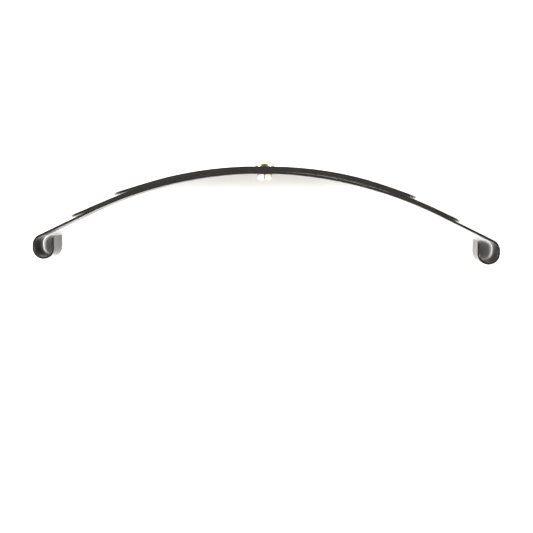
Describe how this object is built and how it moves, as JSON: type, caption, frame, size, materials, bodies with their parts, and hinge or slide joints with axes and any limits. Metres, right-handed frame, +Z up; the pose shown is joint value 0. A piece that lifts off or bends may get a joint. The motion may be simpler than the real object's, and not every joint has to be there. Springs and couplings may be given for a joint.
{
  "type": "leaf spring",
  "caption": "Arched leaf spring of stacked steel strips, with a rolled open eye at each end and a centre bolt and nut, for a scale model truck.",
  "frame": {"origin": "on the centre bolt's axis, at the level of the lowest line of the two eyes, at the middle of the leaf width", "axes": "+X along the spring towards its right eye, +Y across the leaves, +Z up through the arch towards the bolt head"},
  "size_m": [0.0988, 0.0066, 0.0214],
  "materials": {
    "black_spring_steel": "semi-gloss black with bare edges where the strip was sheared",
    "nickel_plated_steel": "bright nickel plate, slightly warm"
  },
  "bodies": {
    "clamped_middle": {"main_leaf_middle": "black_spring_steel", "second_leaf_middle": "black_spring_steel", "short_leaf_middle": "black_spring_steel", "centre_bolt": "nickel_plated_steel", "centre_nut": "nickel_plated_steel"},
    "left_arm": {"main_leaf_left_arm": "black_spring_steel", "second_leaf_left_arm": "black_spring_steel", "short_leaf_left_arm": "black_spring_steel"},
    "right_arm": {"main_leaf_right_arm": "black_spring_steel", "second_leaf_right_arm": "black_spring_steel", "short_leaf_right_arm": "black_spring_steel"}
  },
  "joints": [
    {"name": "left_arm_flex", "type": "hinge", "parent": "clamped_middle", "child": "left_arm", "pos_m": [-0.01515, 0, 0.01869], "axis": [0, 1, 0], "range_deg": [0, 16], "stiffness_Nm_per_rad": 1},
    {"name": "right_arm_flex", "type": "hinge", "parent": "clamped_middle", "child": "right_arm", "pos_m": [0.01515, 0, 0.01869], "axis": [0, -1, 0], "range_deg": [0, 16], "stiffness_Nm_per_rad": 1}
  ]
}
